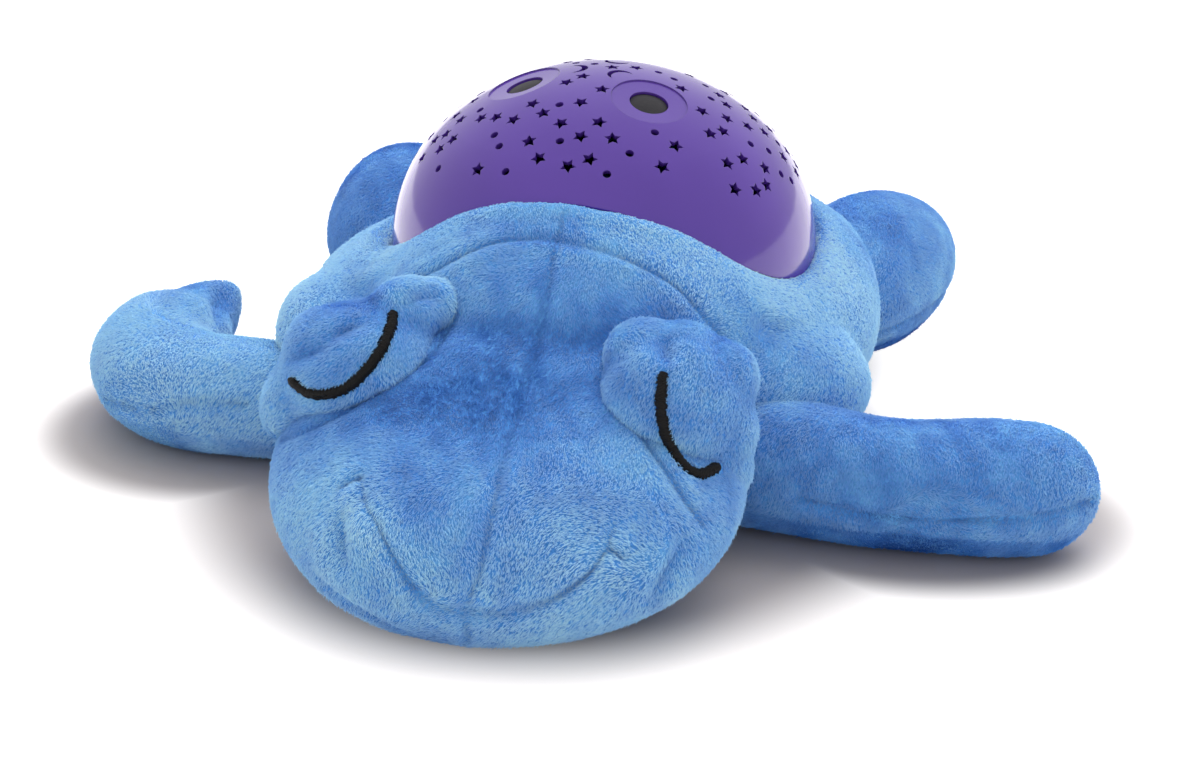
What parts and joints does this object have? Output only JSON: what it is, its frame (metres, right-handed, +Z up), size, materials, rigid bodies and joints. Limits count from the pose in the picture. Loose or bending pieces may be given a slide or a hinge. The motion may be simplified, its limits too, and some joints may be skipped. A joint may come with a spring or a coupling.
{
  "type": "star night light projector",
  "caption": "Plush animal lying on its belly with a perforated glossy dome on its back that throws stars; push buttons on the dome, battery bay under a belly flap.",
  "frame": {"origin": "on the floor, in the belly's flat face, under the dome's axis", "axes": "+Z up along the dome's axis, -Y towards the animal's nose, +X towards its left flank"},
  "size_m": [0.34, 0.3229, 0.122],
  "materials": {
    "plush": "short pile plush",
    "stitch": "satin stitch",
    "tape": "hook and loop tape",
    "purple_gloss": "glossy",
    "purple_dark": "glossy",
    "black_plastic": "matte",
    "white_plastic": "satin",
    "screw_steel": "zinc",
    "cell_wrap": "glossy",
    "contact_metal": "nickel",
    "board_green": "solder mask",
    "led_red": "clear tinted",
    "led_green": "clear tinted",
    "led_blue": "clear tinted",
    "chip_black": "matte",
    "wire_red": "satin",
    "wire_black": "satin",
    "button_black": "satin",
    "switch_grey": "matte"
  },
  "bodies": {
    "plush_and_housing": {"torso": "plush", "head": "plush", "eye_pad_left": "plush", "eye_pad_right": "plush", "arm_left": "plush", "arm_right": "plush", "leg_left": "plush", "leg_right": "plush", "eye_stitch_left": "stitch", "eye_stitch_right": "stitch", "hook_strip": "tape", "star_shell": "purple_gloss", "clamp_collar": "purple_dark", "deck": "black_plastic", "base_tub": "white_plastic", "shell_screws": "screw_steel", "board_screws": "screw_steel", "switch_board_screws": "screw_steel", "battery_cell_1": "cell_wrap", "battery_cell_2": "cell_wrap", "battery_cell_3": "cell_wrap", "contact_plates": "contact_metal", "contact_springs": "contact_metal", "main_board": "board_green", "led_red": "led_red", "led_green": "led_green", "led_blue": "led_blue", "timer_chip": "chip_black", "capacitor": "chip_black", "battery_leads": "wire_red", "switch_leads": "wire_black", "power_switch": "switch_grey", "power_switch_board": "board_green", "timer_switch": "switch_grey", "timer_switch_board": "board_green", "colour_switch": "switch_grey", "colour_switch_board": "board_green"},
    "belly_flap": {"belly_flap": "plush", "loop_strip": "tape"},
    "battery_door": {"battery_door": "white_plastic", "battery_door_screw": "screw_steel"},
    "power_button": {"power_button": "button_black", "power_plunger": "chip_black"},
    "timer_button": {"timer_button": "button_black", "timer_plunger": "chip_black"},
    "colour_button": {"colour_button": "button_black", "colour_plunger": "chip_black"}
  },
  "joints": [
    {"name": "power_press", "type": "slide", "parent": "plush_and_housing", "child": "power_button", "axis": [-0.2286, 0.2286, -0.9463], "range_m": [0, 0.0008], "stiffness_N_per_m": 2500},
    {"name": "timer_press", "type": "slide", "parent": "plush_and_housing", "child": "timer_button", "axis": [-0.0837, -0.3123, -0.9463], "range_m": [0, 0.0008], "stiffness_N_per_m": 2500},
    {"name": "colour_press", "type": "slide", "parent": "plush_and_housing", "child": "colour_button", "axis": [0.3123, 0.0837, -0.9463], "range_m": [0, 0.0008], "stiffness_N_per_m": 2500},
    {"name": "battery_door_lift", "type": "slide", "parent": "plush_and_housing", "child": "battery_door", "axis": [0, 0, -1], "range_m": [0, 0.007]},
    {"name": "belly_flap_hinge", "type": "hinge", "parent": "plush_and_housing", "child": "belly_flap", "pos_m": [0, 0.0306, 0], "axis": [1, 0, 0], "range_deg": [0, 150]}
  ]
}
